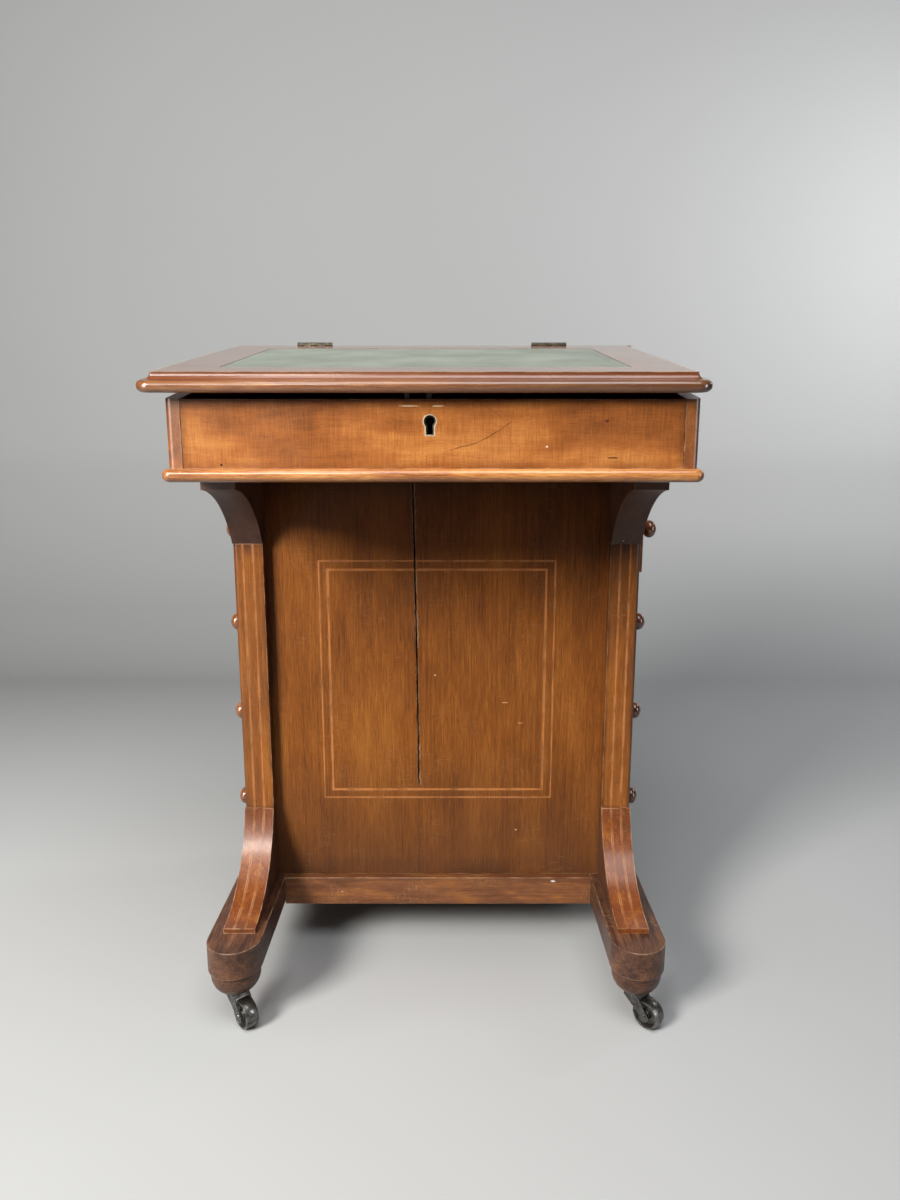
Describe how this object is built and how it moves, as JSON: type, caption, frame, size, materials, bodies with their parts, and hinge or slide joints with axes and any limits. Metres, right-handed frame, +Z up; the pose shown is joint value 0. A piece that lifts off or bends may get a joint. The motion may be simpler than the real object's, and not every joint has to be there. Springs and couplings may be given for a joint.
{
  "type": "davenport desk",
  "caption": "Compact sloping-lid writing desk on a pedestal of side drawers, with front pilasters, curved brackets, scrolled feet and castors.",
  "frame": {"origin": "on the floor under the middle of the desk, half way across its width and its depth", "axes": "+Z up, -Y to the sitter, +X to the sitter's right, the side with the working drawers"},
  "size_m": [0.588, 0.5301, 0.836],
  "materials": {
    "walnut_veneer": "french polish, worn",
    "walnut": "french polish, worn",
    "turned_walnut": "gloss polish",
    "secondary_wood": "planed, unpolished",
    "small_drawer_wood": "thin polish",
    "boxwood_line": "polished flush",
    "aged_brass": "dull, tarnished",
    "dark_iron": "dark, worn bright",
    "green_leather": "old skiver, satin"
  },
  "bodies": {
    "case": {"box_front": "walnut_veneer", "box_side_left": "walnut_veneer", "box_side_right": "walnut_veneer", "box_back": "walnut_veneer", "front_panel": "walnut_veneer", "dummy_fronts": "walnut_veneer", "box_bottom": "walnut", "ledge_top": "walnut", "corner_posts": "walnut", "drawer_rails": "walnut", "base_rails": "walnut", "pilaster_left": "walnut", "pilaster_right": "walnut", "bracket_left": "walnut", "bracket_right": "walnut", "leg_left": "walnut", "leg_right": "walnut", "leg_strips": "walnut", "foot_runner_left": "walnut", "foot_runner_right": "walnut", "turned_pads": "walnut", "dummy_knobs": "turned_walnut", "back_panel": "secondary_wood", "carcase_linings": "secondary_wood", "drawer_runners": "secondary_wood", "pigeonhole_nest": "secondary_wood", "panel_stringing": "boxwood_line", "pilaster_stringing": "boxwood_line", "keyhole_liner": "aged_brass", "ledge_hinge_leaves": "aged_brass", "lock_case": "aged_brass", "castor_plates": "dark_iron"},
    "lid": {"lid_board": "walnut", "leather_panel": "green_leather", "lid_hinge_leaves": "aged_brass", "link_plate": "aged_brass"},
    "bolt": {"lock_bolt": "aged_brass"},
    "small_drawer_left": {"small_drawer_left": "small_drawer_wood"},
    "small_drawer_right": {"small_drawer_right": "small_drawer_wood"},
    "drawer_1": {"drawer_1_front": "walnut_veneer", "drawer_1_box": "secondary_wood", "drawer_1_knobs": "turned_walnut"},
    "drawer_2": {"drawer_2_front": "walnut_veneer", "drawer_2_box": "secondary_wood", "drawer_2_knobs": "turned_walnut"},
    "drawer_3": {"drawer_3_front": "walnut_veneer", "drawer_3_box": "secondary_wood", "drawer_3_knobs": "turned_walnut"},
    "drawer_4": {"drawer_4_front": "walnut_veneer", "drawer_4_box": "secondary_wood", "drawer_4_knobs": "turned_walnut"},
    "castor_front_left": {"castor_fork_front_left": "dark_iron"},
    "wheel_front_left": {"castor_wheel_front_left": "dark_iron"},
    "castor_front_right": {"castor_fork_front_right": "dark_iron"},
    "wheel_front_right": {"castor_wheel_front_right": "dark_iron"},
    "castor_back_left": {"castor_fork_back_left": "dark_iron"},
    "wheel_back_left": {"castor_wheel_back_left": "dark_iron"},
    "castor_back_right": {"castor_fork_back_right": "dark_iron"},
    "wheel_back_right": {"castor_wheel_back_right": "dark_iron"}
  },
  "joints": [
    {"name": "lid_hinge", "type": "hinge", "parent": "case", "child": "lid", "pos_m": [-0.008, 0.1, 0.833], "axis": [-1, 0, 0], "range_deg": [0, 95]},
    {"name": "bolt_slide", "type": "slide", "parent": "case", "child": "bolt", "axis": [1, 0, 0], "range_m": [0, 0.004]},
    {"name": "drawer_1_slide", "type": "slide", "parent": "case", "child": "drawer_1", "axis": [1, 0, 0], "range_m": [-0.01, 0.29]},
    {"name": "drawer_2_slide", "type": "slide", "parent": "case", "child": "drawer_2", "axis": [1, 0, 0], "range_m": [0, 0.3]},
    {"name": "drawer_3_slide", "type": "slide", "parent": "case", "child": "drawer_3", "axis": [1, 0, 0], "range_m": [0, 0.3]},
    {"name": "drawer_4_slide", "type": "slide", "parent": "case", "child": "drawer_4", "axis": [1, 0, 0], "range_m": [0, 0.3]},
    {"name": "small_drawer_left_slide", "type": "slide", "parent": "case", "child": "small_drawer_left", "axis": [0, -1, 0], "range_m": [0, 0.095]},
    {"name": "small_drawer_right_slide", "type": "slide", "parent": "case", "child": "small_drawer_right", "axis": [0, -1, 0], "range_m": [0, 0.095]},
    {"name": "castor_front_left_swivel", "type": "hinge", "parent": "case", "child": "castor_front_left", "pos_m": [-0.2451, -0.168, 0.0392], "axis": [0, 0, 1], "continuous": true},
    {"name": "wheel_front_left_roll", "type": "hinge", "parent": "castor_front_left", "child": "wheel_front_left", "pos_m": [-0.23172, -0.18286, 0.018], "axis": [0.7431, 0.6691, 0], "continuous": true},
    {"name": "castor_front_right_swivel", "type": "hinge", "parent": "case", "child": "castor_front_right", "pos_m": [0.2451, -0.168, 0.0392], "axis": [0, 0, 1], "continuous": true},
    {"name": "wheel_front_right_roll", "type": "hinge", "parent": "castor_front_right", "child": "wheel_front_right", "pos_m": [0.25848, -0.18286, 0.018], "axis": [0.7431, 0.6691, 0], "continuous": true},
    {"name": "castor_back_left_swivel", "type": "hinge", "parent": "case", "child": "castor_back_left", "pos_m": [-0.2451, 0.225, 0.0392], "axis": [0, 0, 1], "continuous": true},
    {"name": "wheel_back_left_roll", "type": "hinge", "parent": "castor_back_left", "child": "wheel_back_left", "pos_m": [-0.23334, 0.20882, 0.018], "axis": [0.809, 0.5878, 0], "continuous": true},
    {"name": "castor_back_right_swivel", "type": "hinge", "parent": "case", "child": "castor_back_right", "pos_m": [0.2451, 0.225, 0.0392], "axis": [0, 0, 1], "continuous": true},
    {"name": "wheel_back_right_roll", "type": "hinge", "parent": "castor_back_right", "child": "wheel_back_right", "pos_m": [0.25973, 0.21136, 0.018], "axis": [0.682, 0.7314, 0], "continuous": true}
  ]
}
